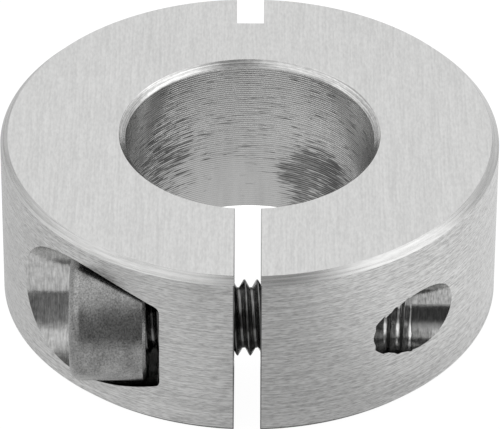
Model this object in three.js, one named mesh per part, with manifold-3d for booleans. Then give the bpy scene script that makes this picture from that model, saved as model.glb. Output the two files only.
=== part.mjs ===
// One-piece clamping shaft collar: a ring slit right through at the front and notched at the back, closed by one
// socket head cap screw that crosses the slit. Millimetres, +Z up. The origin is on the bore's axis, in the lower face.
// The slit is at -Y, the relief notch at +Y, and the screw lies along X with its head on the -X side.
import * as THREE from "three";
import { mergeVertices } from "three/addons/utils/BufferGeometryUtils.js";
import Module from "manifold-3d";

// ---- Driving dimensions -------------------------------------------------------------------------------------------
// Ring
const BORE_RADIUS = 10;
const RING_WIDTH = 15;
const OUTER_CHAMFER = 0.6;
const BORE_CHAMFER = 0.5;
const SLIT_WIDTH = 2.15;
const NOTCH_WIDTH = 2.25;
const NOTCH_DEPTH = 3.9;

// Screw, a fully threaded M6 x 16
const THREAD_MAJOR = 6;
const THREAD_PITCH = 1;
const SCREW_LENGTH = 16;
const TIP_CHAMFER = 0.7;
const HEAD_DIAMETER = 10;
const HEAD_HEIGHT = 6;
const HEAD_EDGE_RADIUS = 0.9;
const HEAD_UNDERSIDE_CHAMFER = 0.25;
const SOCKET_ACROSS_FLATS = 5;
const SOCKET_DEPTH = 3;
const SOCKET_MOUTH_CHAMFER = 0.2;

// Metal round the screw
const BORE_TO_HOLE_WALL = 1.4; // from the shaft's bore to the clearance hole
const HOLE_COVER = 2; // from the clearance hole to the rim
const SEAT_THICKNESS = 5.9; // under the head, from the slit to the pocket's floor
const POCKET_FLOOR_CORNER = 0.3;
const SPARE_THREAD = 4.95; // tapped thread left past the screw's tip

// Clearances
const CLEARANCE_HOLE_CLEARANCE = 0.3; // round the thread, in the jaw under the head
const POCKET_CLEARANCE = 0.5; // round the head
const EXIT_HOLE_UNDERSIZE = 0.25; // the plain outlet's radius, below the thread's
const TAPPED_CREST_UNDERSIZE = 0.3; // the open thread's inner radius, below its outer one
const TURNING_CLEARANCE = 0.1; // round the screw's crests, where it fills the tapped hole
const TIP_CLEARANCE = 0.5; // from the screw's tip to the first open turn of the tapped thread
const HEAD_STANDOFF = 1.05; // from the head to its seat: the screw is backed off about one turn
const CUT_OVERRUN = 2; // how far a cut runs past the face that it leaves

// Fineness of the curved faces
const RING_SEGMENTS = 120;
const HOLE_SEGMENTS = 48;
const THREAD_SEGMENTS = 24;
const EDGE_STEPS = 4;

// ---- Derived dimensions -------------------------------------------------------------------------------------------
const THREAD_RADIUS = THREAD_MAJOR / 2;
const CLEARANCE_HOLE_RADIUS = THREAD_RADIUS + CLEARANCE_HOLE_CLEARANCE;
const SCREW_OFFSET = BORE_RADIUS + BORE_TO_HOLE_WALL + CLEARANCE_HOLE_RADIUS;
const OUTER_RADIUS = SCREW_OFFSET + CLEARANCE_HOLE_RADIUS + HOLE_COVER;
const SCREW_HEIGHT = RING_WIDTH / 2;
const HEAD_RADIUS = HEAD_DIAMETER / 2;
const SEAT_X = -(SLIT_WIDTH / 2 + SEAT_THICKNESS);
const HEAD_UNDERSIDE_X = SEAT_X - HEAD_STANDOFF;
const SCREW_TIP_X = HEAD_UNDERSIDE_X + SCREW_LENGTH;
const OPEN_THREAD_START_X = SCREW_TIP_X + TIP_CLEARANCE;
const OPEN_THREAD_END_X = SCREW_TIP_X + SPARE_THREAD;
const OUTSIDE = OUTER_RADIUS + CUT_OVERRUN;

// ISO metric thread form: a flat crest an eighth of the pitch wide, and flanks at 30 degrees to a plane across the axis
const THREAD_DEPTH = 0.6134 * THREAD_PITCH;
const CREST_FLAT = THREAD_PITCH / 8;
const FLANK_SLOPE = Math.tan(Math.PI / 6);

// ---- Solids: three.js makes the shapes, manifold-3d joins and cuts them -------------------------------------------
const wasm = await Module();
wasm.setup();

function solid(geometry) {
  const bare = geometry.clone();
  bare.deleteAttribute("normal");
  bare.deleteAttribute("uv");
  const merged = mergeVertices(bare, 1e-4);
  const vertProperties = new Float32Array(merged.attributes.position.array);
  const triVerts = new Uint32Array(merged.index.array);
  return new wasm.Manifold(new wasm.Mesh({ numProp: 3, vertProperties, triVerts }));
}

function geometryOf(body) {
  const { vertProperties, triVerts } = body.getMesh();
  const geometry = new THREE.BufferGeometry();
  geometry.setAttribute("position", new THREE.BufferAttribute(vertProperties, 3));
  geometry.setIndex(new THREE.BufferAttribute(triVerts, 1));
  geometry.computeVertexNormals();
  return geometry;
}

// A body of revolution about X. Points are [x, radius], from the low end of the axis to the high end.
function turnedAlongX(points) {
  const profile = points.map(([x, radius]) => new THREE.Vector2(radius, x));
  return solid(new THREE.LatheGeometry(profile, HOLE_SEGMENTS).rotateZ(-Math.PI / 2));
}

function rodAlongX(fromX, toX, radius) {
  return turnedAlongX([[fromX, 0], [fromX, radius], [toX, radius], [toX, 0]]);
}

function block(fromX, toX, fromY, toY, fromZ, toZ) {
  const shape = new THREE.BoxGeometry(toX - fromX, toY - fromY, toZ - fromZ);
  return solid(shape.translate((fromX + toX) / 2, (fromY + toY) / 2, (fromZ + toZ) / 2));
}

// A right-handed threaded rod along X that is whole from fromX to toX and has ragged ends past them, for a cut to trim.
// Its skin is a grid: a row for each corner of the thread form, and a column for each step round the axis. Each column
// lies a little further along than the last, so the one after the last is the first one again, a whole pitch on.
function threadedRod(fromX, toX, crestRadius, rootRadius) {
  const flank = (crestRadius - rootRadius) * FLANK_SLOPE;
  const form = [
    [0, crestRadius],
    [CREST_FLAT, crestRadius],
    [CREST_FLAT + flank, rootRadius],
    [THREAD_PITCH - flank, rootRadius],
  ];
  const rows = (Math.ceil((toX - fromX) / THREAD_PITCH) + 1) * form.length;
  const columnLength = rows + form.length + 1;
  const positions = [];
  const faces = [];
  for (let column = 0; column < THREAD_SEGMENTS; column += 1) {
    const share = column / THREAD_SEGMENTS;
    const angle = 2 * Math.PI * share;
    for (let row = 0; row < columnLength; row += 1) {
      const [along, radius] = form[row % form.length];
      const turn = Math.floor(row / form.length) - 1 + share;
      positions.push(fromX + turn * THREAD_PITCH + along, radius * Math.cos(angle), radius * Math.sin(angle));
    }
  }
  const at = (column, row) => (column < THREAD_SEGMENTS ? column * columnLength + row : row + form.length);
  for (let column = 0; column < THREAD_SEGMENTS; column += 1) {
    for (let row = 0; row < rows; row += 1) {
      faces.push(at(column, row), at(column + 1, row), at(column + 1, row + 1));
      faces.push(at(column, row), at(column + 1, row + 1), at(column, row + 1));
    }
  }
  // Each end is a fan from the axis to the end row, which climbs one pitch, and then down the step to the row's start.
  for (const endRow of [0, rows]) {
    const rim = Array.from({ length: THREAD_SEGMENTS }, (_, column) => at(column, endRow));
    for (let step = form.length; step > 0; step -= 1) rim.push(at(0, endRow + step));
    const centre = positions.length / 3;
    positions.push(positions[at(THREAD_SEGMENTS / 2, endRow) * 3], 0, 0);
    rim.forEach((vertex, i) => {
      const next = rim[(i + 1) % rim.length];
      faces.push(centre, ...(endRow > 0 ? [vertex, next] : [next, vertex]));
    });
  }
  const geometry = new THREE.BufferGeometry();
  geometry.setAttribute("position", new THREE.Float32BufferAttribute(positions, 3));
  geometry.setIndex(faces);
  return solid(geometry);
}

// ---- Ring ---------------------------------------------------------------------------------------------------------
function ringBlank() {
  const profile = [
    [BORE_RADIUS, BORE_CHAMFER],
    [BORE_RADIUS + BORE_CHAMFER, 0],
    [OUTER_RADIUS - OUTER_CHAMFER, 0],
    [OUTER_RADIUS, OUTER_CHAMFER],
    [OUTER_RADIUS, RING_WIDTH - OUTER_CHAMFER],
    [OUTER_RADIUS - OUTER_CHAMFER, RING_WIDTH],
    [BORE_RADIUS + BORE_CHAMFER, RING_WIDTH],
    [BORE_RADIUS, RING_WIDTH - BORE_CHAMFER],
    [BORE_RADIUS, BORE_CHAMFER],
  ].map(([radius, height]) => new THREE.Vector2(radius, height));
  return solid(new THREE.LatheGeometry(profile, RING_SEGMENTS).rotateX(Math.PI / 2));
}

// The cut that lets the jaws close, from the bore out through the rim.
function slit() {
  return block(-SLIT_WIDTH / 2, SLIT_WIDTH / 2, -OUTSIDE, 0, -CUT_OVERRUN, RING_WIDTH + CUT_OVERRUN);
}

// The cut in the rim opposite the slit. The web of metal inside it bends as the jaws close.
function reliefNotch() {
  const floor = OUTER_RADIUS - NOTCH_DEPTH;
  return block(-NOTCH_WIDTH / 2, NOTCH_WIDTH / 2, floor, OUTSIDE, -CUT_OVERRUN, RING_WIDTH + CUT_OVERRUN);
}

// The pocket round the screw's head. The corner of its flat floor is broken.
function headPocket() {
  const radius = HEAD_RADIUS + POCKET_CLEARANCE;
  return turnedAlongX([
    [-OUTSIDE, 0],
    [-OUTSIDE, radius],
    [SEAT_X - POCKET_FLOOR_CORNER, radius],
    [SEAT_X, radius - POCKET_FLOOR_CORNER],
    [SEAT_X, 0],
  ]);
}

// The far jaw's tapped hole: plain where the screw fills it, threaded past the screw's tip, and then a plain outlet.
function tappedHole() {
  const filled = rodAlongX(0, OPEN_THREAD_START_X, THREAD_RADIUS + TURNING_CLEARANCE);
  const open = threadedRod(
    OPEN_THREAD_START_X,
    OPEN_THREAD_END_X,
    THREAD_RADIUS,
    THREAD_RADIUS - TAPPED_CREST_UNDERSIZE,
  ).intersect(rodAlongX(SCREW_TIP_X, OPEN_THREAD_END_X, THREAD_MAJOR));
  const outlet = rodAlongX(OPEN_THREAD_END_X - CREST_FLAT, OUTSIDE, THREAD_RADIUS - EXIT_HOLE_UNDERSIZE);
  return filled.add(open).add(outlet);
}

function collarRing() {
  const clearanceHole = rodAlongX(SEAT_X - HEAD_STANDOFF, 0, CLEARANCE_HOLE_RADIUS);
  const screwHoles = headPocket().add(clearanceHole).add(tappedHole());
  const placedHoles = screwHoles.translate([0, -SCREW_OFFSET, SCREW_HEIGHT]);
  return geometryOf(ringBlank().subtract(slit()).subtract(reliefNotch()).subtract(placedHoles));
}

// ---- Screw: its own origin is on its axis, where the head's underside meets the shank -----------------------------
function screwHead() {
  const roundedEdge = Array.from({ length: EDGE_STEPS + 1 }, (_, step) => {
    const angle = (step / EDGE_STEPS) * (Math.PI / 2);
    return [
      -HEAD_HEIGHT + HEAD_EDGE_RADIUS * (1 - Math.sin(angle)),
      HEAD_RADIUS - HEAD_EDGE_RADIUS * (1 - Math.cos(angle)),
    ];
  }).reverse();
  return turnedAlongX([
    [-HEAD_HEIGHT, 0],
    ...roundedEdge,
    [-HEAD_UNDERSIDE_CHAMFER, HEAD_RADIUS],
    [0, HEAD_RADIUS - HEAD_UNDERSIDE_CHAMFER],
    [0, 0],
  ]);
}

// The hexagonal socket for the key, with a chamfered mouth and a conical floor.
function keySocket() {
  const cornerRadius = SOCKET_ACROSS_FLATS / Math.sqrt(3);
  const mouthRadius = cornerRadius + SOCKET_MOUTH_CHAMFER;
  const mouthX = -HEAD_HEIGHT;
  const floorX = mouthX + SOCKET_DEPTH;
  const prism = new THREE.CylinderGeometry(cornerRadius, cornerRadius, 2 * HEAD_HEIGHT, 6);
  const envelope = turnedAlongX([
    [mouthX - CUT_OVERRUN, 0],
    [mouthX - CUT_OVERRUN, HEAD_RADIUS],
    [floorX, HEAD_RADIUS],
    [floorX + HEAD_RADIUS * FLANK_SLOPE, 0],
  ]);
  const mouth = turnedAlongX([
    [mouthX - CUT_OVERRUN, 0],
    [mouthX - CUT_OVERRUN, mouthRadius + CUT_OVERRUN],
    [mouthX + mouthRadius, 0],
  ]);
  const hexagon = solid(prism.rotateZ(Math.PI / 2).translate(mouthX, 0, 0));
  return hexagon.intersect(envelope).add(mouth.intersect(envelope));
}

// The thread starts inside the head, so its ragged end is hidden, and its tip is chamfered.
function screwShank() {
  const thread = threadedRod(0, SCREW_LENGTH, THREAD_RADIUS, THREAD_RADIUS - THREAD_DEPTH);
  const envelope = turnedAlongX([
    [-HEAD_HEIGHT / 4, 0],
    [-HEAD_HEIGHT / 4, THREAD_MAJOR],
    [SCREW_LENGTH - TIP_CHAMFER - THREAD_RADIUS, THREAD_MAJOR],
    [SCREW_LENGTH, THREAD_RADIUS - TIP_CHAMFER],
    [SCREW_LENGTH, 0],
  ]);
  return thread.intersect(envelope);
}

function clampScrew() {
  return geometryOf(screwHead().add(screwShank()).subtract(keySocket()));
}

// ---- Assembly -----------------------------------------------------------------------------------------------------
const ringSteel = new THREE.MeshStandardMaterial({ color: 0xc9cacb, metalness: 1, roughness: 0.35 });
const screwSteel = new THREE.MeshStandardMaterial({ color: 0x8f8f8e, metalness: 1, roughness: 0.45 });

const collar = new THREE.Group();

const ringMesh = new THREE.Mesh(collarRing(), ringSteel);
ringMesh.name = "collar_body";
collar.add(ringMesh);

const screwMesh = new THREE.Mesh(clampScrew(), screwSteel);
screwMesh.name = "clamp_screw";
screwMesh.position.set(HEAD_UNDERSIDE_X, -SCREW_OFFSET, SCREW_HEIGHT);
collar.add(screwMesh);

export default collar;
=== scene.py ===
# %% [markdown]
# # A clamping shaft collar, cut from bare steel
#
# The object is two pieces of metal: a ring with a slit in its front and a notch in its back, and the
# socket head cap screw that pulls the slit shut. A machinist turns the ring on a lathe, grinds its ends,
# saws the slit and the notch, and bores the holes for the screw. This script makes it in the same order.
# Each cut is a solid that is taken away from the ring, and each cut leaves its own finish on the metal,
# because a saw, a drill and a lathe leave marks that run in different directions.
#
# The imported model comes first, as a fixed frame. Both of its nodes keep their place and size, and the
# pieces made here stand in for them with a finer surface.

# %% Load the frame
import math

import bmesh
import bpy
import numpy as np
from mathutils import Matrix, Vector


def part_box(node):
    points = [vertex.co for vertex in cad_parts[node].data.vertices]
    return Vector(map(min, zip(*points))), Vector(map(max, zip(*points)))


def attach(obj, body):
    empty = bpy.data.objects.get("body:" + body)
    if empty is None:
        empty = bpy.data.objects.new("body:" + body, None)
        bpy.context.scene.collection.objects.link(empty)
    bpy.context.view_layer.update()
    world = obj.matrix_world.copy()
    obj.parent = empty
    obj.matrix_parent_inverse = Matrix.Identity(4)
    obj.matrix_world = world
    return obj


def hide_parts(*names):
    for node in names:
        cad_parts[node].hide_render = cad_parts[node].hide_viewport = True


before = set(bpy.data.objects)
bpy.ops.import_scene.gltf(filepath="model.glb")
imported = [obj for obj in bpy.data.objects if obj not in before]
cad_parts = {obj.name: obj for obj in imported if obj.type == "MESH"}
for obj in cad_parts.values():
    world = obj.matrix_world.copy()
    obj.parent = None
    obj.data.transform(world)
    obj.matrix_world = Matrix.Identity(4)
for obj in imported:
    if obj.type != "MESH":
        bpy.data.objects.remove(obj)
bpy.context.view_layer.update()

# %% [markdown]
# ## Sizes
#
# What the frame can say is read from it: the ring's outside, its width, and where the screw lies. What
# lies inside those boxes, such as the bore and the slit, is named here in metres. The screw is drawn a
# little backed off, so its head stands clear of the seat.

# %% Name the ring's sizes
MM = 0.001

ring_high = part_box("collar_body")[1]
RING_RADIUS = ring_high.x
RING_WIDTH = ring_high.z
BORE_RADIUS = 10 * MM
OUTER_CHAMFER = 0.6 * MM
BORE_CHAMFER = 0.5 * MM
LOWER_BORE_CHAMFER = 0.65 * MM
SLIT_WIDTH = 2.08 * MM
SLIT_CENTRE_X = -0.1 * MM
NOTCH_WIDTH = 2.25 * MM
NOTCH_DEPTH = 4.2 * MM
print(f"ring {2 * RING_RADIUS / MM:.1f} mm across and {RING_WIDTH / MM:.1f} mm wide")

# %% Name the screw's sizes
screw_low, screw_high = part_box("clamp_screw")
SCREW_Y = (screw_low.y + screw_high.y) / 2
SCREW_Z = (screw_low.z + screw_high.z) / 2
SCREW_TIP_X = screw_high.x
HEAD_END_X = screw_low.x
HEAD_RADIUS = (screw_high.z - screw_low.z) / 2
HEAD_HEIGHT = 6 * MM
HEAD_UNDERSIDE_X = HEAD_END_X + HEAD_HEIGHT
THREAD_RADIUS = 3 * MM
THREAD_PITCH = 1 * MM
print(f"screw from x = {HEAD_END_X / MM:.2f} to {SCREW_TIP_X / MM:.2f} mm, at y = {SCREW_Y / MM:.2f} mm")

# %% Name what lies between the ring and the screw
HEAD_BACKED_OFF = 1.05 * MM
HEAD_CLEARANCE = 0.5 * MM
SHANK_CLEARANCE = 0.3 * MM
TURNING_CLEARANCE = 0.1 * MM
TAP_DRILL_UNDERSIZE = 0.25 * MM
BARE_WALL = 0.5 * MM
SPARE_THREAD = 4.95 * MM

SEAT_X = HEAD_UNDERSIDE_X + HEAD_BACKED_OFF
POCKET_RADIUS = HEAD_RADIUS + HEAD_CLEARANCE
CLEARANCE_HOLE_RADIUS = THREAD_RADIUS + SHANK_CLEARANCE
OUTLET_RADIUS = THREAD_RADIUS - TAP_DRILL_UNDERSIZE
OPEN_THREAD_START_X = SCREW_TIP_X + BARE_WALL
OPEN_THREAD_END_X = SCREW_TIP_X + SPARE_THREAD
print(f"head's seat at x = {SEAT_X / MM:.2f} mm, open thread ends at x = {OPEN_THREAD_END_X / MM:.2f} mm")

# %% [markdown]
# ## Shader maths
#
# Every finish below is a pattern worked out from the place on the metal. Written as nodes, a sum such as
# `0.3 + 0.1 * streaks` is hard to read, so one small class wraps a socket and turns Python's operators
# into Math nodes. A second class holds the node tree, and one method of it adds any other kind of node.


# %% Wrap sockets and node trees
class Value:
    """A number that changes over a surface. Python's operators on it add Math nodes to its tree."""

    def __init__(self, recipe, socket):
        self.recipe = recipe
        self.socket = socket

    def maths(self, operation, *numbers):
        return self.recipe.add("ShaderNodeMath", {"operation": operation}, dict(enumerate(numbers)))

    def output(self, name):
        """Another output of the same node."""
        return Value(self.recipe, self.socket.node.outputs[name])

    def __add__(self, other):
        return self.maths("ADD", self, other)

    def __sub__(self, other):
        return self.maths("SUBTRACT", self, other)

    def __rsub__(self, other):
        return self.maths("SUBTRACT", other, self)

    def __mul__(self, other):
        return self.maths("MULTIPLY", self, other)

    __radd__ = __add__
    __rmul__ = __mul__

    def sine(self):
        return self.maths("SINE", self)


class Recipe:
    """A node tree, and the one way to add a node to it."""

    def __init__(self, tree):
        self.tree = tree
        self.tree.nodes.clear()

    def add(self, kind, settings=None, sockets=None, output=0):
        """A node of this kind: its settings first, then its sockets by name or number.

        What comes back is the output that is asked for, by name or number.
        """
        node = self.tree.nodes.new(kind)
        for name, setting in (settings or {}).items():
            setattr(node, name, setting)
        for key, given in (sockets or {}).items():
            if isinstance(given, Value):
                self.tree.links.new(given.socket, node.inputs[key])
            else:
                node.inputs[key].default_value = given
        return Value(self, node.outputs[output])

    def finish(self, kind, surface):
        """Ends the tree in its output node."""
        node = self.tree.nodes.new(kind)
        self.tree.links.new(surface.socket, node.inputs["Surface"])


# %% [markdown]
# ## Grain
#
# Machined steel is never one flat grey. A tool leaves scratches that are long one way and very short the
# other, and they do two things: they vary the shine a little, and they smear every reflection across
# their own direction. An image of scratches would need the surface unwrapped. Noise on a stretched copy
# of space gives them on any shape, and the same function serves every finish, because only the three
# lengths of the grain change.


# %% Stretch noise into scratches
def place_on(recipe):
    """Where a point of the surface is, on the object's own axes."""
    return recipe.add("ShaderNodeTexCoord", output="Object")


def height_on(recipe):
    """How high a point of the surface is."""
    return recipe.add("ShaderNodeSeparateXYZ", {}, {0: place_on(recipe)}, output="Z")


def grain(recipe, lengths, detail=2.0, roughness=0.5):
    """Noise from 0 to 1 whose grain has these lengths along X, Y and Z, in millimetres."""
    scale = [1 / (length * MM) for length in lengths]
    stretched = recipe.add("ShaderNodeMapping", {}, {"Vector": place_on(recipe), "Scale": scale})
    sockets = {"Vector": stretched, "Scale": 1.0, "Detail": detail, "Roughness": roughness}
    return recipe.add("ShaderNodeTexNoise", {"noise_dimensions": "3D"}, sockets)


def contrast(recipe, value, low, high):
    """0 where value is at or below low, 1 at or above high, and a smooth step between."""
    settings = {"interpolation_type": "SMOOTHSTEP"}
    sockets = {"Value": value, "From Min": low, "From Max": high}
    return recipe.add("ShaderNodeMapRange", settings, sockets)


# %% [markdown]
# ## Bare steel
#
# All the finishes are the same metal, so one function builds the material and each finish only says four
# things about it: its tone between a dark and a light grey, its roughness, the height of its scratches
# from 0 to 1, and how deep the deepest is, in metres. The colour is a reflectance, because a metal has no
# colour of its own apart from what it mirrors.


# %% Mix the metal
WARMTH = 0.992


def grey(level):
    """Bare steel is a hair warmer than neutral grey, so it has a little less blue."""
    return (level, level, WARMTH * level)


def steel(name, make, dark, light):
    """Bare metal between two grey levels. make(recipe) gives its tone, roughness, height and depth."""
    material = bpy.data.materials.new(name)
    material.use_nodes = True
    recipe = Recipe(material.node_tree)
    tone, roughness, height, depth = make(recipe)
    colour = recipe.add(
        "ShaderNodeMix",
        {"data_type": "RGBA", "clamp_factor": True},
        {"Factor": tone, 6: (*grey(dark), 1.0), 7: (*grey(light), 1.0)},
        output=2,
    )
    relief = recipe.add("ShaderNodeBump", {}, {"Strength": 1.0, "Distance": depth, "Height": height})
    metal = recipe.add(
        "ShaderNodeBsdfPrincipled",
        {},
        {"Base Color": colour, "Metallic": 1.0, "Roughness": roughness, "Normal": relief},
    )
    recipe.finish("ShaderNodeOutputMaterial", metal)
    print("finish:", name, "with", len(material.node_tree.nodes), "nodes")
    return material


# %% [markdown]
# ## Ground ends and turned rim
#
# The end faces are ground: straight, very fine lines that all run one way, from the slit to the notch.
# The rim is turned, so its lines run round the ring. Circles round Z are hard to stretch noise along, but
# at any place on the rim they are level, so it is enough that the grain is long both ways across and very
# short in height. The narrow edges between the two are turned as well, with coarser lines that break off
# here and there.


# %% Grind the ends and turn the rim
def ground_end(recipe):
    """Short and long fine lines along Y, over faint wide bands."""
    lines = grain(recipe, (0.17, 0.52, 9), detail=1)
    long_lines = grain(recipe, (0.18, 5, 9), detail=1)
    bands = grain(recipe, (0.6, 9, 9), detail=2)
    tone = contrast(recipe, 0.5 * lines + 0.4 * long_lines + 0.1 * bands, 0.2, 0.8)
    return tone, 0.27 + 0.08 * lines, lines, 1.2e-6


def turned_rim(recipe):
    """Short and long fine level lines, over faint patches."""
    lines = grain(recipe, (0.56, 0.56, 0.09), detail=1)
    long_lines = grain(recipe, (9, 9, 0.11), detail=1)
    patches = grain(recipe, (2.5, 2.5, 0.7), detail=3)
    tone = contrast(recipe, 0.55 * lines + 0.35 * long_lines + 0.1 * patches, 0.3, 0.7)
    return tone, 0.24 + 0.1 * lines, 0.55 * lines + 0.45 * long_lines, 1.8e-6


def broken_edge(recipe):
    """Long level lines with breaks in them."""
    lines = grain(recipe, (7, 7, 0.1), detail=2)
    breaks = grain(recipe, (0.7, 0.7, 0.1), detail=1)
    tone = contrast(recipe, 0.75 * lines + 0.25 * breaks, 0.25, 0.75)
    return tone, 0.24 + 0.08 * lines, 0.8 * lines + 0.2 * breaks, 3e-6


end_steel = steel("ground_end_steel", ground_end, 0.62, 0.8)
rim_steel = steel("turned_rim_steel", turned_rim, 0.5, 0.9)
edge_steel = steel("broken_edge_steel", broken_edge, 0.56, 0.84)

# %% [markdown]
# ## Bore
#
# The bore is turned with a pointed tool, and its feed marks are regular ridges a fifth of a millimetre
# apart: a sine of the height. In places the tool has torn them, in short level strokes that are darker and
# rougher. A bore isn't worn evenly, so a few places are told apart by their distance from a point: rubbed
# ones with more strokes and a clean one with fewer strokes and quieter ridges. Two more, found the same
# way, are painted shade that darkens the bore's left and right sides.

# %% Name the places in the bore
FEED = 0.2 * MM

# Each is a centre, how far from it the place is full, and how far it reaches, in millimetres.
RUBBED_RIGHT = ((5.6, 8.3, 4.6), 1.6, 4.6)
RUBBED_FOOT = ((4.6, 8.9, 0.6), 0.2, 2.2)
RUBBED_LEFT = ((-7.2, 6.6, 8), 1, 6)
CLEAN_MIDDLE = ((-0.8, 10, 1.6), 2.2, 5.2)
# The last two are painted shade on the bore's left and right sides.
SIDE_SHADE_RIGHT = ((9.5, 1.5, 7), 2.5, 9.5)
SIDE_SHADE_LEFT = ((-9.5, 1.5, 7), 2.5, 9.5)
print(f"feed marks in the bore: {RING_WIDTH / FEED:.0f}")


# %% Turn the bore and its chamfers
def patch(recipe, centre, inner, outer):
    """1 within the inner distance of a centre, 0 beyond the outer one, all in millimetres."""
    sockets = {0: place_on(recipe), 1: tuple(length * MM for length in centre)}
    away = recipe.add("ShaderNodeVectorMath", {"operation": "DISTANCE"}, sockets, "Value")
    return 1 - contrast(recipe, away, inner * MM, outer * MM)


def turned_bore(recipe):
    """Feed ridges, torn where a sum of strokes, flecks, clouds and rubbing passes a threshold."""
    ridges = 0.5 + 0.5 * (height_on(recipe) * (2 * math.pi / FEED)).sine()
    clouds = grain(recipe, (2.2, 2.2, 1.6), detail=2)
    smears = grain(recipe, (0.8, 0.8, 6), detail=2)
    strokes = grain(recipe, (1.5, 1.5, 0.085), detail=1)
    flecks = grain(recipe, (0.42, 0.42, 0.1), detail=1)
    rub = patch(recipe, *RUBBED_RIGHT) + 0.9 * patch(recipe, *RUBBED_FOOT)
    rub = rub + 0.6 * patch(recipe, *RUBBED_LEFT)
    clean = patch(recipe, *CLEAN_MIDDLE)
    # Painted shade: the bore's left and right sides are darker.
    side_shade = patch(recipe, *SIDE_SHADE_RIGHT) + patch(recipe, *SIDE_SHADE_LEFT)
    tearing = strokes + 0.2 * flecks + 0.25 * clouds + 0.31 * rub - 0.12 * clean
    torn = contrast(recipe, tearing, 0.85, 0.94)
    ridges = ridges + clean * (0.45 - 0.8 * ridges)
    tone = 0.34 * ridges + 0.18 * smears + 0.1 * flecks + 0.38 * (1 - torn) - 0.34 * side_shade
    return contrast(recipe, tone, 0.06, 0.94), 0.22 + 0.14 * torn, 0.8 * ridges + 0.5 * strokes, 8e-6


def turned_chamfer(recipe):
    """Long, very fine level lines with breaks in them, brighter and shinier than the rim."""
    lines = grain(recipe, (6, 6, 0.07), detail=2)
    breaks = grain(recipe, (0.5, 0.5, 0.12), detail=2)
    tone = contrast(recipe, 0.7 * lines + 0.3 * breaks, 0.32, 0.68)
    return tone, 0.2 + 0.1 * breaks, 0.7 * lines + 0.3 * breaks, 6e-6


bore_steel = steel("turned_bore_steel", turned_bore, 0.1, 0.8)
chamfer_steel = steel("turned_chamfer_steel", turned_chamfer, 0.48, 0.96)

# %% [markdown]
# ## Sawn and drilled walls
#
# The slit and the notch are sawn, and the blade's teeth leave level lines. The same pattern in a darker
# grey serves the slit's thin outer edges, where the saw tore the metal; their dark grey is painted shade,
# the thin dark line along the slit's edges. The pocket, the tapped hole and the outlet are cut by tools
# that turn about X, so their marks are short along X and longer round it.
# The outlet is the plain end of the tapped hole, and a level band of its wall is painted darker: a painted
# dark reflection.

# %% Name the painted dark band
PAINTED_BAND_FOOT = (5.0 * MM, 5.4 * MM)
PAINTED_BAND_TOP = (6.85 * MM, 6.95 * MM)
PAINTED_BAND_STRENGTH = 0.75
print(f"the stain is {(PAINTED_BAND_TOP[0] - PAINTED_BAND_FOOT[1]) / MM:.2f} mm high at full strength")


# %% Saw and drill
def sawn_wall(recipe):
    """Long level lines over round patches."""
    lines = grain(recipe, (9, 9, 0.09), detail=3)
    patches = grain(recipe, (1.5, 1.5, 1.5), detail=2)
    tone = contrast(recipe, 0.6 * lines + 0.4 * patches, 0.3, 0.7)
    return tone, 0.3 + 0.12 * lines, lines, 3e-6


def drilled_wall(recipe):
    """Lines that are short along X, and fine patches that make the wall slightly wavy."""
    lines = grain(recipe, (0.12, 0.9, 0.9), detail=2)
    patches = grain(recipe, (0.35, 0.5, 0.5), detail=4)
    tone = contrast(recipe, 0.5 * lines + 0.5 * patches, 0.25, 0.75)
    return tone, 0.12 + 0.1 * patches, 0.3 * lines + 0.7 * patches, 11e-6


def outlet_wall(recipe):
    """A drilled wall, darker between the foot and the top of a level band: a painted dark reflection."""
    tone, roughness, height, depth = drilled_wall(recipe)
    level = height_on(recipe)
    painted_band = contrast(recipe, level, *PAINTED_BAND_FOOT) * (1 - contrast(recipe, level, *PAINTED_BAND_TOP))
    return tone * (1 - PAINTED_BAND_STRENGTH * painted_band), roughness, height, depth


sawn_steel = steel("sawn_wall_steel", sawn_wall, 0.5, 0.7)
# A much darker grey for the slit's broken edges: painted shade, the thin dark line along them.
saw_edge_shade_steel = steel("broken_saw_edge_shade_steel", sawn_wall, 0.18, 0.3)
drilled_steel = steel("drilled_wall_steel", drilled_wall, 0.46, 0.92)
# A darker grey than the drilled walls: painted shade, for the shade inside the tapped hole.
tapped_shade_steel = steel("tapped_wall_steel", drilled_wall, 0.22, 0.8)
outlet_steel = steel("outlet_wall_steel", outlet_wall, 0.36, 0.96)

# %% [markdown]
# ## Screw finishes
#
# The screw is a bought part. Its head is cold formed and tumbled, which leaves a slightly darker, satin
# skin with a fine, even mottle. Its thread is rolled, so its flanks are smooth, and its darker grey than
# the head's is painted shade, for the shade that the thread lies in within the slit.


# %% Make the screw's finishes
def tumbled_head(recipe):
    """A fine even mottle over soft clouds."""
    mottle = grain(recipe, (0.13, 0.15, 0.15), detail=2, roughness=0.6)
    clouds = grain(recipe, (1.2, 1.6, 1.6), detail=2)
    tone = contrast(recipe, 0.65 * mottle + 0.35 * clouds, 0.3, 0.7)
    return tone, 0.22 + 0.12 * mottle, 0.8 * mottle + 0.2 * clouds, 7e-6


def rolled_thread(recipe):
    """Very fine lines across X over soft clouds."""
    lines = grain(recipe, (0.05, 1.2, 1.2), detail=2)
    clouds = grain(recipe, (0.8, 0.8, 0.8), detail=3)
    tone = contrast(recipe, 0.5 * lines + 0.5 * clouds, 0.3, 0.7)
    return tone, 0.16 + 0.1 * clouds, lines, 1.5e-6


head_steel = steel("tumbled_head_steel", tumbled_head, 0.21, 0.53)
# A darker grey than the head: painted shade, for the shade the thread lies in within the slit.
thread_shade_steel = steel("rolled_thread_steel", rolled_thread, 0.14, 0.36)

# %% [markdown]
# ## Surfaces from grids
#
# Every solid here is a grid of points: rows along a profile, columns round an axis. The whole grid is
# worked out as one array, and each four neighbours make a face. Where the last column falls on the first,
# or a row shrinks to a point on the axis, the points are merged, so the surface is closed.


# %% Turn a grid of points into a closed piece
SAME_CORNER = 1e-8


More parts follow.
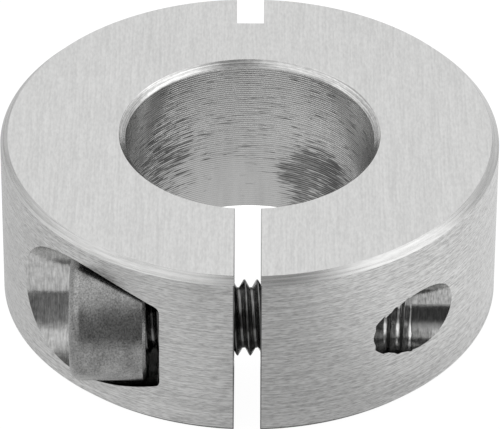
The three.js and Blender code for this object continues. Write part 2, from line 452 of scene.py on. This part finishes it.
def piece_from_grid(name, grid, finishes):
    """A closed mesh from points of shape (rows, columns, 3).

    finishes gives each strip between two rows its material.
    """
    rows, columns = grid.shape[:2]
    corner = np.arange(rows * columns).reshape(rows, columns)
    quads = np.stack([corner[:-1, :-1], corner[1:, :-1], corner[1:, 1:], corner[:-1, 1:]], axis=-1)
    mesh = bpy.data.meshes.new(name)
    mesh.from_pydata(grid.reshape(-1, 3), [], quads.reshape(-1, 4))
    worn = list(dict.fromkeys(finishes))
    for material in worn:
        mesh.materials.append(material)
    strips = np.array([worn.index(material) for material in finishes], np.int32)
    mesh.polygons.foreach_set("material_index", np.repeat(strips, columns - 1))
    shell = bmesh.new()
    shell.from_mesh(mesh)
    bmesh.ops.remove_doubles(shell, verts=shell.verts, dist=SAME_CORNER)
    bmesh.ops.holes_fill(shell, edges=[edge for edge in shell.edges if edge.is_boundary], sides=0)
    bmesh.ops.recalc_face_normals(shell, faces=shell.faces)
    shell.to_mesh(mesh)
    shell.free()
    piece = bpy.data.objects.new(name, mesh)
    bpy.context.scene.collection.objects.link(piece)
    return piece


# %% Carry a profile round an axis
def full_turn(columns):
    """Angles in equal steps whose last falls exactly on the first."""
    angle = np.linspace(0, 2 * math.pi, columns + 1)
    angle[-1] = 0
    return angle


def around_z(profile, columns):
    """Points (radius cos a, radius sin a, height), for a profile of (radius, height) rows."""
    angle = full_turn(columns)
    radius, height = profile[:, 0, None], profile[:, 1, None]
    return np.stack([radius * np.cos(angle), radius * np.sin(angle), height + 0 * angle], axis=-1)


def around_screw(profile, columns):
    """Points (x, radius cos a, radius sin a) round the screw's axis, for a profile of (x, radius) rows."""
    angle = full_turn(columns)
    along, radius = profile[:, 0, None], profile[:, 1, None]
    y = SCREW_Y + radius * np.cos(angle)
    z = SCREW_Z + radius * np.sin(angle)
    return np.stack([along + 0 * angle, y, z], axis=-1)


def arc(centre, radius, start, end, steps):
    """Points on an arc in the plane of a profile, from one angle to another, in degrees."""
    angle = np.radians(np.linspace(start, end, steps + 1))
    return np.stack([centre[0] + radius * np.cos(angle), centre[1] + radius * np.sin(angle)], axis=-1)


# %% Make the plain cutters
ROD_COLUMNS = 192


def rod(name, from_x, to_x, radius, finish):
    """A plain round rod on the screw's axis."""
    profile = np.array([[from_x, 0], [from_x, radius], [to_x, radius], [to_x, 0]])
    return piece_from_grid(name, around_screw(profile, ROD_COLUMNS), [finish] * 3)


def block(name, low, high, finish):
    """A box from one corner to the other: its outline at two heights, drawn in to a point at both ends."""
    (x0, y0, z0), (x1, y1, z1) = low, high
    loop = np.array([[x0, y0], [x1, y0], [x1, y1], [x0, y1], [x0, y0]])
    centre = np.array([[(x0 + x1) / 2, (y0 + y1) / 2]] * 5)
    rows = [(centre, z0), (loop, z0), (loop, z1), (centre, z1)]
    grid = np.stack([np.concatenate([plan, np.full((5, 1), z)], axis=1) for plan, z in rows])
    return piece_from_grid(name, grid, [finish] * 3)


# %% [markdown]
# ## Cutting and joining
#
# A Boolean modifier takes one solid from another. Its manifold solver is fast and needs closed solids,
# which these are. Its material mode is set to transfer, so the walls of a cut wear the cutter's finish:
# this is how the slit comes out sawn and the pocket drilled, with no face picked by hand. Where three
# surfaces cross, two points can land on top of each other, so points closer than a fifth of a micrometre
# are merged, and the surface stays closed for the next cut.


# %% Cut, join and keep the result
SAME_POINT = 2e-7


def combine(piece, tool, operation):
    """Joins, cuts or trims piece with tool, writes the result into its mesh and throws the tool away."""
    modifier = piece.modifiers.new(operation, "BOOLEAN")
    modifier.operation = operation
    modifier.solver = "MANIFOLD"
    modifier.material_mode = "TRANSFER"
    modifier.object = tool
    bpy.context.view_layer.update()
    result = bpy.data.meshes.new_from_object(piece.evaluated_get(bpy.context.evaluated_depsgraph_get()))
    shell = bmesh.new()
    shell.from_mesh(result)
    bmesh.ops.remove_doubles(shell, verts=shell.verts, dist=SAME_POINT)
    bmesh.ops.dissolve_degenerate(shell, edges=shell.edges, dist=SAME_POINT)
    shell.to_mesh(result)
    shell.free()
    piece.modifiers.clear()
    piece.data = result
    bpy.data.objects.remove(tool)


def report(piece):
    """Prints a piece's size, and how many of its edges don't join exactly two faces."""
    shell = bmesh.new()
    shell.from_mesh(piece.data)
    open_edges = sum(not edge.is_manifold for edge in shell.edges)
    volume = shell.calc_volume() / MM**3
    shell.free()
    print(f"{piece.name}: {len(piece.data.polygons)} faces, {open_edges} open edges, {volume:.0f} mm3")


# %% [markdown]
# ## Threads
#
# A screw thread is one ridge that climbs a pitch in each turn. Rows of points follow the ridge's section,
# and each column is set a little further along the axis than the last, so that after a whole turn a row
# lands on the row one pitch up. The ends are left ragged, to be trimmed by a plain solid. The floor says
# how much of the sharp ridge's foot is cut off: a low floor gives the screw's own narrow root, and a high
# one gives the wide flat lands that a tap leaves between its grooves.


# %% Wind a ridge round a rod
CREST_CUT = 0.89
ROUNDING = 0.035
SCREW_FLOOR = 0.2
THREAD_COLUMNS = 120
ROWS_PER_PITCH = 24


def soft_floor(height):
    """The greater of height and 0, with the corner between them rounded: a softplus."""
    return ROUNDING * np.log(1 + np.exp(height / ROUNDING))


def thread_section(floor):
    """Height of a thread over one pitch, from 0 at the root to 1 at the crest.

    A triangle wave is a sharp ridge. What lies above the crest cut and below the floor is taken off.
    """
    across = np.linspace(0, 1, ROWS_PER_PITCH, endpoint=False)
    sharp = 1 - np.abs(2 * across - 1)
    height = soft_floor((sharp - floor) / (CREST_CUT - floor))
    return 1 - soft_floor(1 - height)


def threaded_rod(name, from_x, to_x, crest, root, finish, floor):
    """A right-handed threaded rod that is whole from from_x to to_x.

    Row r and column c lie at the angle 2 pi s, where s is c as a share of the columns, and at
    x = from_x + pitch * (r / rows in a pitch - 1 + s).
    """
    turns = math.ceil((to_x - from_x) / THREAD_PITCH) + 2
    rows = np.arange(turns * ROWS_PER_PITCH + 1)
    share = np.linspace(0, 1, THREAD_COLUMNS + 1)
    angle = full_turn(THREAD_COLUMNS)
    along = from_x + THREAD_PITCH * (rows[:, None] / ROWS_PER_PITCH - 1 + share)
    section = thread_section(floor)[rows % ROWS_PER_PITCH]
    radius = root + (crest - root) * section[:, None]
    skin = np.stack([along, SCREW_Y + radius * np.cos(angle), SCREW_Z + radius * np.sin(angle)], axis=-1)
    first = np.tile([along[0].mean(), SCREW_Y, SCREW_Z], (1, THREAD_COLUMNS + 1, 1))
    last = np.tile([along[-1].mean(), SCREW_Y, SCREW_Z], (1, THREAD_COLUMNS + 1, 1))
    grid = np.concatenate([first, skin, last])
    return piece_from_grid(name, grid, [finish] * (len(grid) - 1))


# %% [markdown]
# ## The ring's blank
#
# The blank is a closed profile turned round Z: bore, lower face, rim and upper face, with a chamfer at
# each corner. The bore's lower chamfer is a little wider than its upper one. The profile's strips name
# their finishes, so the faces, the rim and the bore are told apart before anything is cut.

# %% Turn the blank
RING_COLUMNS = 720
inner, outer, top = BORE_RADIUS, RING_RADIUS, RING_WIDTH
ring_profile = np.array(
    [
        [inner, LOWER_BORE_CHAMFER],
        [inner + LOWER_BORE_CHAMFER, 0],
        [outer - OUTER_CHAMFER, 0],
        [outer, OUTER_CHAMFER],
        [outer, top - OUTER_CHAMFER],
        [outer - OUTER_CHAMFER, top],
        [inner + BORE_CHAMFER, top],
        [inner, top - BORE_CHAMFER],
        [inner, LOWER_BORE_CHAMFER],
    ]
)
ring_finishes = [
    chamfer_steel,
    end_steel,
    edge_steel,
    rim_steel,
    edge_steel,
    end_steel,
    chamfer_steel,
    bore_steel,
]
ring = piece_from_grid("collar_ring", around_z(ring_profile, RING_COLUMNS), ring_finishes)
report(ring)

# %% [markdown]
# ## Slit and notch
#
# The slit cuts the ring right through at the front, so that the screw can draw its jaws together. The
# notch thins the wall at the back, and there the ring bends. Both are straight saw cuts, so plain blocks
# do. Two wider and very shallow blocks then take the slit's front and upper edges off, which the saw
# leaves torn, and give them a dark grey: painted shade, the thin dark line along the slit's edges.

# %% Saw the slit and the notch
OVERRUN = 2 * MM
SAW_EDGE = 0.08 * MM

beyond = RING_RADIUS + OVERRUN
full_height = (-OVERRUN, RING_WIDTH + OVERRUN)


def saw(name, x, y, z, finish):
    """Takes a block out of the ring. x, y and z each give its lowest and its highest value."""
    combine(ring, block(name, *zip(x, y, z), finish), "DIFFERENCE")


def slit_sides(extra):
    """Lowest and highest x of the slit, with something extra at each side."""
    half = SLIT_WIDTH / 2
    return (SLIT_CENTRE_X - half - extra, SLIT_CENTRE_X + half + extra)


skin_top = (RING_WIDTH - SAW_EDGE / 2, RING_WIDTH + OVERRUN)
saw("slit", slit_sides(0), (-beyond, 0), full_height, sawn_steel)
saw("front_edges", slit_sides(SAW_EDGE), (-beyond, SAW_EDGE - RING_RADIUS), full_height, saw_edge_shade_steel)
saw("top_edges", slit_sides(SAW_EDGE / 2), (-beyond, 0), skin_top, saw_edge_shade_steel)
notch_sides = (-NOTCH_WIDTH / 2, NOTCH_WIDTH / 2)
saw("notch", notch_sides, (RING_RADIUS - NOTCH_DEPTH, beyond), full_height, sawn_steel)
report(ring)

# %% [markdown]
# ## Pocket and holes
#
# The screw's head sits in a flat-bottomed pocket that breaks out through the rim, and its shank passes
# the left jaw with room to spare. A profile turned round the screw's axis gives the pocket a small round
# in its corner. On the real ring the right jaw is tapped from the slit on. Here the length that the screw
# fills is a plain hole just wider than its thread, so that the screw can turn in it without touching.

# %% Bore the pocket and the plain holes
POCKET_COLUMNS = 288
POCKET_CORNER = 0.3 * MM
POCKET_CORNER_STEPS = 6
OVERLAP = 1 * MM


def bore(name, from_x, to_x, radius, finish):
    """Takes a round rod on the screw's axis out of the ring."""
    combine(ring, rod(name, from_x, to_x, radius, finish), "DIFFERENCE")


corner_centre = (SEAT_X - POCKET_CORNER, POCKET_RADIUS - POCKET_CORNER)
pocket_profile = np.concatenate(
    [
        [[-beyond, 0], [-beyond, POCKET_RADIUS]],
        arc(corner_centre, POCKET_CORNER, 90, 0, POCKET_CORNER_STEPS),
        [[SEAT_X, 0]],
    ]
)
pocket_finishes = [drilled_steel] * (len(pocket_profile) - 1)
pocket = piece_from_grid("pocket", around_screw(pocket_profile, POCKET_COLUMNS), pocket_finishes)
combine(ring, pocket, "DIFFERENCE")
bore("clearance", SEAT_X - OVERLAP, 0, CLEARANCE_HOLE_RADIUS, drilled_steel)
bore("filled", 0, OPEN_THREAD_START_X, THREAD_RADIUS + TURNING_CLEARANCE, drilled_steel)
report(ring)

# %% [markdown]
# ## Tapped hole
#
# Past the screw's tip the tapped thread lies open, and it shows where the hole breaks out through the
# rim. It is a threaded rod, trimmed to its length and taken away. A plain core joins it to the screw's
# hole, and a relief, a plain groove just wider than the thread, lies where it starts. The outlet beyond
# the thread is the hole as it was drilled.

# %% Tap the open end of the hole
THIN_OVERLAP = 0.1 * MM
RELIEF_START_X = SCREW_TIP_X + 1.97 * MM
RELIEF_END_X = SCREW_TIP_X + 2.7 * MM
RELIEF_RADIUS = THREAD_RADIUS - 0.1 * MM
TAP_CREST = THREAD_RADIUS - 0.16 * MM
TAP_ROOT = OUTLET_RADIUS - 0.01 * MM
TAP_FLOOR = 0.45
TAP_PHASE = 0.375 * MM
TRIM_RADIUS = 2 * THREAD_RADIUS

tap_start = SCREW_TIP_X - TAP_PHASE
tap = threaded_rod("tap", tap_start, OPEN_THREAD_END_X, TAP_CREST, TAP_ROOT, tapped_shade_steel, TAP_FLOOR)
tapped_length = rod("tapped_length", RELIEF_START_X, OPEN_THREAD_END_X, TRIM_RADIUS, tapped_shade_steel)
combine(tap, tapped_length, "INTERSECT")
combine(ring, tap, "DIFFERENCE")
bore("core", OPEN_THREAD_START_X - THIN_OVERLAP, RELIEF_END_X, TAP_ROOT, tapped_shade_steel)
bore("relief", RELIEF_START_X, RELIEF_END_X, RELIEF_RADIUS, tapped_shade_steel)
bore("outlet", OPEN_THREAD_END_X - THIN_OVERLAP, beyond, OUTLET_RADIUS, outlet_steel)
report(ring)

# %% [markdown]
# ## The screw's head
#
# The head is a short cylinder with a well rounded outer edge, which catches the light, and a small
# chamfer under it. A profile turned round the screw's axis holds both.

# %% Turn the head
HEAD_COLUMNS = 240
HEAD_EDGE_RADIUS = 0.9 * MM
HEAD_EDGE_STEPS = 10
UNDERSIDE_CHAMFER = 0.25 * MM
edge_centre = (HEAD_END_X + HEAD_EDGE_RADIUS, HEAD_RADIUS - HEAD_EDGE_RADIUS)
head_profile = np.concatenate(
    [
        [[HEAD_END_X, 0]],
        arc(edge_centre, HEAD_EDGE_RADIUS, 180, 90, HEAD_EDGE_STEPS),
        [
            [HEAD_UNDERSIDE_X - UNDERSIDE_CHAMFER, HEAD_RADIUS],
            [HEAD_UNDERSIDE_X, HEAD_RADIUS - UNDERSIDE_CHAMFER],
            [HEAD_UNDERSIDE_X, 0],
        ],
    ]
)
head_finishes = [head_steel] * (len(head_profile) - 1)
screw = piece_from_grid("cap_screw", around_screw(head_profile, HEAD_COLUMNS), head_finishes)
report(screw)

# %% [markdown]
# ## The screw's thread
#
# The shank is a threaded rod that starts inside the head. A plain solid with a cone at 45 degrees trims
# it to length and chamfers its tip, so that it would start in the hole. Head and shank are then joined
# into one closed surface, because on the real screw they are one piece of steel.

# %% Roll the thread and join it to the head
THREAD_DEPTH = 0.6134 * THREAD_PITCH
THREAD_PHASE = 0.02 * MM
TIP_CHAMFER = 0.7 * MM
SHANK_INSIDE_HEAD = 0.5 * MM

shank_start = HEAD_UNDERSIDE_X - OVERLAP + THREAD_PHASE
root = THREAD_RADIUS - THREAD_DEPTH
shank = threaded_rod("shank", shank_start, SCREW_TIP_X, THREAD_RADIUS, root, thread_shade_steel, SCREW_FLOOR)
envelope_profile = np.array(
    [
        [HEAD_UNDERSIDE_X - SHANK_INSIDE_HEAD, 0],
        [HEAD_UNDERSIDE_X - SHANK_INSIDE_HEAD, TRIM_RADIUS],
        [SCREW_TIP_X - TIP_CHAMFER - THREAD_RADIUS, TRIM_RADIUS],
        [SCREW_TIP_X, THREAD_RADIUS - TIP_CHAMFER],
        [SCREW_TIP_X, 0],
    ]
)
envelope = piece_from_grid("envelope", around_screw(envelope_profile, ROD_COLUMNS), [thread_shade_steel] * 4)
combine(shank, envelope, "INTERSECT")
combine(screw, shank, "UNION")
report(screw)

# %% [markdown]
# ## The key's socket
#
# The socket is a hexagonal hole with the cone of its drill at the bottom. A profile turned round the axis
# in only six columns is a hexagon, and its corners lie on the circle that the profile gives, so the width
# across its flats sets that circle. A cone at 45 degrees opens its mouth.

# %% Broach the socket
SOCKET_ACROSS_FLATS = 5 * MM
SOCKET_RADIUS = SOCKET_ACROSS_FLATS / 2 / math.cos(math.pi / 6)
SOCKET_DEPTH = 3 * MM
SOCKET_CONE = SOCKET_RADIUS * math.tan(math.pi / 6)
MOUTH = 0.2 * MM
MOUTH_COLUMNS = 96

socket_profile = np.array(
    [
        [HEAD_END_X - OVERRUN, 0],
        [HEAD_END_X - OVERRUN, SOCKET_RADIUS],
        [HEAD_END_X + SOCKET_DEPTH, SOCKET_RADIUS],
        [HEAD_END_X + SOCKET_DEPTH + SOCKET_CONE, 0],
    ]
)
mouth_profile = np.array(
    [
        [HEAD_END_X - OVERRUN, 0],
        [HEAD_END_X - OVERRUN, SOCKET_RADIUS + MOUTH + OVERRUN],
        [HEAD_END_X + SOCKET_RADIUS + MOUTH, 0],
    ]
)
socket = piece_from_grid("key_socket", around_screw(socket_profile, 6), [head_steel] * 3)
combine(screw, socket, "DIFFERENCE")
mouth = piece_from_grid("mouth", around_screw(mouth_profile, MOUTH_COLUMNS), [head_steel] * 2)
combine(screw, mouth, "DIFFERENCE")
report(screw)

# %% [markdown]
# ## Edges and shading
#
# Round walls are shaded smooth and real corners stay sharp. An edge is sharp where its faces meet at more
# than 25 degrees, and also where one finish ends and another begins, because there a tool has left the
# metal. The second rule matters where a hole runs out through the rim so flatly that its edge is blunter
# than the first rule's angle.


# %% Shade the pieces
SHARP_FROM = math.radians(25)


def shade(piece):
    """Smooth faces, with sharp edges at corners and where two finishes meet."""
    mesh = piece.data
    mesh.polygons.foreach_set("use_smooth", np.ones(len(mesh.polygons), bool))
    mesh.set_sharp_from_angle(angle=SHARP_FROM)
    finish = np.zeros(len(mesh.polygons), np.int32)
    mesh.polygons.foreach_get("material_index", finish)
    sides = np.zeros(len(mesh.polygons), np.int32)
    mesh.polygons.foreach_get("loop_total", sides)
    edge = np.zeros(len(mesh.loops), np.int32)
    mesh.loops.foreach_get("edge_index", edge)
    worn = np.repeat(finish, sides)
    lowest = np.full(len(mesh.edges), worn.max() + 1)
    highest = np.full(len(mesh.edges), -1)
    np.minimum.at(lowest, edge, worn)
    np.maximum.at(highest, edge, worn)
    sharp = np.zeros(len(mesh.edges), bool)
    mesh.attributes["sharp_edge"].data.foreach_get("value", sharp)
    sharp = sharp | (lowest < highest)
    mesh.attributes["sharp_edge"].data.foreach_set("value", sharp)
    print(f"{piece.name}: {int(sharp.sum())} sharp edges")


shade(ring)
shade(screw)

# %% [markdown]
# ## Bodies and the nodes they stand for
#
# The ring rides on the fixed body and the screw on the one that turns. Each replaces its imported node.

# %% Tie the pieces to the frame
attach(ring, "ring")
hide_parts("collar_body")
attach(screw, "screw")
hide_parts("clamp_screw")

# %% [markdown]
# ## The studio
#
# Polished metal has no look of its own: it shows the room. The room here is a white studio with two large
# soft boxes, high at the left and the right, a bright wall behind the object, and a dark gap in front
# where the camera stands. Area lights would do it too, but what so small a mirror shows depends almost
# only on direction, so the whole room is written as a world whose brightness depends on direction. The
# camera itself sees plain white.


# %% Aim the soft boxes
def direction(azimuth, elevation):
    """A unit vector. Azimuth 0 points to the camera's side, -Y, and 90 to +X."""
    a, e = math.radians(azimuth), math.radians(elevation)
    return (math.sin(a) * math.cos(e), -math.cos(a) * math.cos(e), math.sin(e))


def soft_box(recipe, looking, azimuth, elevation, full, none):
    """1 within full degrees of a direction, 0 beyond none degrees of it, and a smooth step between."""
    sockets = {0: looking, 1: direction(azimuth, elevation)}
    along = recipe.add("ShaderNodeVectorMath", {"operation": "DOT_PRODUCT"}, sockets, "Value")
    return contrast(recipe, along, math.cos(math.radians(none)), math.cos(math.radians(full)))


RIGHT_BOX = {"azimuth": 89, "elevation": 54, "full": 24, "none": 32}
LEFT_BOX = {"azimuth": -67, "elevation": 51, "full": 24, "none": 37}
for box in (RIGHT_BOX, LEFT_BOX):
    print("soft box towards", [round(part, 2) for part in direction(box["azimuth"], box["elevation"])])

# %% Build the studio round the object
STUDIO_LEVEL = 0.94
ROOM_LEVEL = 0.62
RIGHT_BOX_LEVEL = 0.82
LEFT_BOX_LEVEL = 0.38
BACK_WALL_LEVEL = 0.38
GAP_DARKNESS = 0.95

# Where each begins and where it is full, as a part of a unit vector: north is +Y, and east is +X.
BACK_WALL_NORTH = (0.0, 0.6)
BACK_WALL_RISE = (0.3, 0.56)
GAP_WEST_SIDE = (-0.45, 0.1)
GAP_EAST_SIDE = (0.4, 1.0)
GAP_NORTH_SIDE = (-0.5, 0.0)
GAP_TOP = (0.66, 0.95)

world = bpy.data.worlds.new("studio")
world.use_nodes = True
bpy.context.scene.world = world
studio = Recipe(world.node_tree)
looking = studio.add("ShaderNodeTexCoord", output="Generated")
rise = studio.add("ShaderNodeSeparateXYZ", {}, {0: looking}, output="Z")
level_look = studio.add("ShaderNodeVectorMath", {"operation": "MULTIPLY"}, {0: looking, 1: (1, 1, 0)})
compass = studio.add("ShaderNodeVectorMath", {"operation": "NORMALIZE"}, {0: level_look})
east = studio.add("ShaderNodeSeparateXYZ", {}, {0: compass})
north = east.output("Y")
right_box = soft_box(studio, looking, **RIGHT_BOX)
left_box = soft_box(studio, looking, **LEFT_BOX)
back_wall = contrast(studio, north, *BACK_WALL_NORTH) * contrast(studio, rise, *BACK_WALL_RISE)
gap_sides = contrast(studio, east, *GAP_WEST_SIDE) * (1 - contrast(studio, east, *GAP_EAST_SIDE))
gap_front = (1 - contrast(studio, north, *GAP_NORTH_SIDE)) * (1 - contrast(studio, rise, *GAP_TOP))
boxes_lit = ROOM_LEVEL + RIGHT_BOX_LEVEL * right_box + LEFT_BOX_LEVEL * left_box
lit = boxes_lit + BACK_WALL_LEVEL * back_wall
level = lit * (1 - GAP_DARKNESS * gap_sides * gap_front)
camera_ray = studio.add("ShaderNodeLightPath", output="Is Camera Ray")
strength = camera_ray + (1 - camera_ray) * level * STUDIO_LEVEL
room = studio.add("ShaderNodeBackground", {}, {"Color": (1, 1, 1, 1), "Strength": strength})
studio.finish("ShaderNodeOutputWorld", room)
print("studio:", len(world.node_tree.nodes), "nodes")

# %% [markdown]
# ## The table
#
# What lies below the horizon is the table, and it is close, so it isn't part of the world. It is a floor
# whose reflection has its own shading: a little lighter at the right, shaded in front of the ring, with a
# small darker patch at the front left, dark under the ring and dark past the table's front edge. Light
# spills in a thin line round the foot of the bore. Its levels are given, because the paper that the
# camera sees has to stay plain white.

# %% Name the table's levels
PAST_TABLE_LEVEL = 0.1
TABLE_LEVEL = 0.65
RIGHT_SIDE_LIGHTER = 0.19
FRONT_SHADE = 0.23
FAR_SHADE = 0.45
SPILL_LEVEL = 1.2
UNDER_RING_SHADE = 0.7
print(f"table's level from {TABLE_LEVEL - FRONT_SHADE:.2f} to {TABLE_LEVEL + RIGHT_SIDE_LIGHTER:.2f}")

# %% Name where they begin and end
TABLE_EDGE_Y = (-73 * MM, -71 * MM)
RIGHT_SIDE_X = (-8 * MM, 30 * MM)
FRONT_SHADE_CENTRE = (8 * MM, -10 * MM, 0)
FRONT_SHADE_SQUEEZE = (1, 0.3, 1)
FRONT_SHADE_EDGE = (3 * MM, 19 * MM)
FAR_SHADE_LEFT_X = (-17 * MM, -14 * MM)
FAR_SHADE_RIGHT_X = (-11 * MM, -8 * MM)
FAR_SHADE_Y = (-43 * MM, -34 * MM)
SPILL_START = (BORE_RADIUS - 0.2 * MM, BORE_RADIUS + 0.2 * MM)
SPILL_END = (BORE_RADIUS + 0.6 * MM, BORE_RADIUS + 1.6 * MM)
RIM_EDGE = (RING_RADIUS - 0.1 * MM, RING_RADIUS + 0.3 * MM)
print(f"the table ends {-TABLE_EDGE_Y[1] / MM:.0f} mm in front of the ring's axis")

# %% Shade what the floor shows the metal
paper = bpy.data.materials.new("white_paper")
paper.use_nodes = True
sheet = Recipe(paper.node_tree)
spot = place_on(sheet)
across = sheet.add("ShaderNodeSeparateXYZ", {}, {0: spot})
depth_y = across.output("Y")
squeezed = sheet.add("ShaderNodeMapping", {}, {"Vector": spot, "Scale": FRONT_SHADE_SQUEEZE})
ends = {0: squeezed, 1: FRONT_SHADE_CENTRE}
away = sheet.add("ShaderNodeVectorMath", {"operation": "DISTANCE"}, ends, "Value")
front_shade = 1 - contrast(sheet, away, *FRONT_SHADE_EDGE)
on_table = contrast(sheet, depth_y, *TABLE_EDGE_Y)
from_axis = sheet.add("ShaderNodeVectorMath", {"operation": "LENGTH"}, {0: spot}, "Value")
past_spill = contrast(sheet, from_axis, *SPILL_END)
under_ring = past_spill * (1 - contrast(sheet, from_axis, *RIM_EDGE))
spill = contrast(sheet, from_axis, *SPILL_START) * (1 - past_spill)
far_shade = contrast(sheet, across, *FAR_SHADE_LEFT_X) * (1 - contrast(sheet, across, *FAR_SHADE_RIGHT_X))
far_shade = far_shade * (1 - contrast(sheet, depth_y, *FAR_SHADE_Y))
table = TABLE_LEVEL + RIGHT_SIDE_LIGHTER * contrast(sheet, across, *RIGHT_SIDE_X)
table = table - FRONT_SHADE * front_shade - FAR_SHADE * far_shade
near = (table + SPILL_LEVEL * spill) * (1 - UNDER_RING_SHADE * under_ring)
print("table's reflection:", len(paper.node_tree.nodes), "nodes")

# %% Lay the pale floor
FLOOR_HALF = 3.0
FLOOR_GAP = 0.02 * MM
PAPER_DIFFUSE = 0.1
PAPER_GLOW = 0.97

table_strength = (PAST_TABLE_LEVEL + on_table * (near - PAST_TABLE_LEVEL)) * STUDIO_LEVEL
reflected = sheet.add("ShaderNodeEmission", {}, {"Strength": table_strength})
matt = sheet.add("ShaderNodeBsdfDiffuse", {}, {"Color": (PAPER_DIFFUSE, PAPER_DIFFUSE, PAPER_DIFFUSE, 1)})
glow = sheet.add("ShaderNodeEmission", {}, {"Color": (1, 1, 1, 1), "Strength": PAPER_GLOW})
seen = sheet.add("ShaderNodeAddShader", {}, {0: matt, 1: glow})
camera_ray = sheet.add("ShaderNodeLightPath", output="Is Camera Ray")
white = sheet.add("ShaderNodeMixShader", {}, {0: camera_ray, 1: reflected, 2: seen})
sheet.finish("ShaderNodeOutputMaterial", white)

bpy.ops.mesh.primitive_plane_add(size=2 * FLOOR_HALF, location=(0, 0, -FLOOR_GAP))
floor = bpy.context.object
floor.name = "floor"
floor.data.materials.append(paper)
print(f"floor: {2 * FLOOR_HALF:.0f} m across")

# %% [markdown]
# ## Camera
#
# A long lens from about 40 cm away, looking down at a little over 35 degrees, straight at the slit. The
# long lens keeps the ring's far side nearly as wide as its near side.

# %% Place the camera
CAMERA_ELEVATION = 35.66
CAMERA_AZIMUTH = 0.07
CAMERA_ROLL = 0.24
CAMERA_DISTANCE = 0.410
SENSOR = 36.0
LENS = 364.4
SHIFT_X = 0.0012
SHIFT_Y = -0.0121

back = Vector(direction(CAMERA_AZIMUTH, CAMERA_ELEVATION))
right = Vector((math.cos(math.radians(CAMERA_AZIMUTH)), math.sin(math.radians(CAMERA_AZIMUTH)), 0))
up = back.cross(right)
roll = math.radians(CAMERA_ROLL)
tilted_right = right * math.cos(roll) + up * math.sin(roll)
tilted_up = up * math.cos(roll) - right * math.sin(roll)
lens = bpy.data.cameras.new("camera")
lens.sensor_width = SENSOR
lens.lens = LENS
lens.shift_x = SHIFT_X
lens.shift_y = SHIFT_Y
camera = bpy.data.objects.new("camera", lens)
bpy.context.scene.collection.objects.link(camera)
turn = Matrix((tilted_right, tilted_up, back)).transposed().to_4x4()
camera.matrix_world = Matrix.Translation(Vector((0, 0, RING_WIDTH / 2)) + back * CAMERA_DISTANCE) @ turn
bpy.context.scene.camera = camera
bpy.context.scene.view_settings.view_transform = "Standard"
print("camera at", [round(part, 3) for part in camera.matrix_world.translation])
